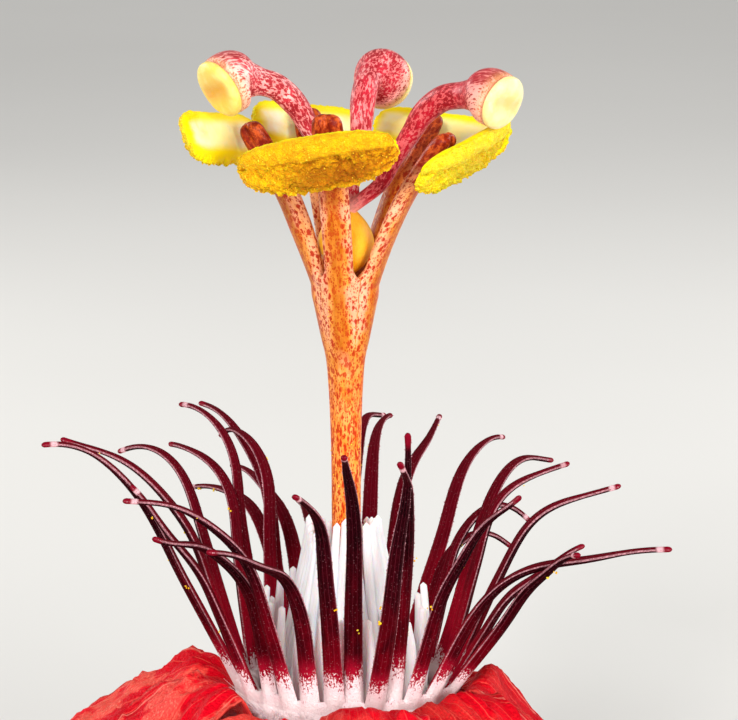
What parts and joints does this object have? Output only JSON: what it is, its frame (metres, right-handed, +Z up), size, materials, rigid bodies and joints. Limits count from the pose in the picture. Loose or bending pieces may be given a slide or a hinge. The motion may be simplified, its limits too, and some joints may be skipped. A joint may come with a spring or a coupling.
{
  "type": "passion flower",
  "caption": "Open scarlet passion flower with reflexed tepals, a dark filament corona round a white one, and a tall spotted column carrying anthers, ovary and clubbed styles.",
  "frame": {"origin": "on the surface that the flower stands on, under the middle of its outline", "axes": "+Z up along the flower's column, -Y towards the viewer of the picture, +X to the viewer's right"},
  "size_m": [0.0938, 0.0943, 0.0705],
  "materials": {
    "green_skin": "satin green skin flushed with red",
    "scarlet_sepal": "velvety scarlet",
    "scarlet_petal": "velvety scarlet",
    "maroon_corona": "velvety near-black maroon",
    "white_corona": "waxy white",
    "orange_column": "satin orange with red-brown spots",
    "yellow_pollen": "granular pollen yellow",
    "amber_ovary": "satin amber",
    "pink_style": "satin pink mottled with crimson",
    "cream_stigma": "moist cream"
  },
  "bodies": {
    "root": {"receptacle": "green_skin", "sepal_1": "scarlet_sepal", "petal_1": "scarlet_petal", "sepal_2": "scarlet_sepal", "petal_2": "scarlet_petal", "sepal_3": "scarlet_sepal", "petal_3": "scarlet_petal", "sepal_4": "scarlet_sepal", "petal_4": "scarlet_petal", "sepal_5": "scarlet_sepal", "petal_5": "scarlet_petal", "outer_corona": "maroon_corona", "inner_corona": "white_corona", "column": "orange_column", "anther_1": "yellow_pollen", "anther_2": "yellow_pollen", "anther_3": "yellow_pollen", "anther_4": "yellow_pollen", "anther_5": "yellow_pollen", "ovary": "amber_ovary", "style_1": "pink_style", "stigma_1": "cream_stigma", "style_2": "pink_style", "stigma_2": "cream_stigma", "style_3": "pink_style", "stigma_3": "cream_stigma"}
  },
  "joints": []
}
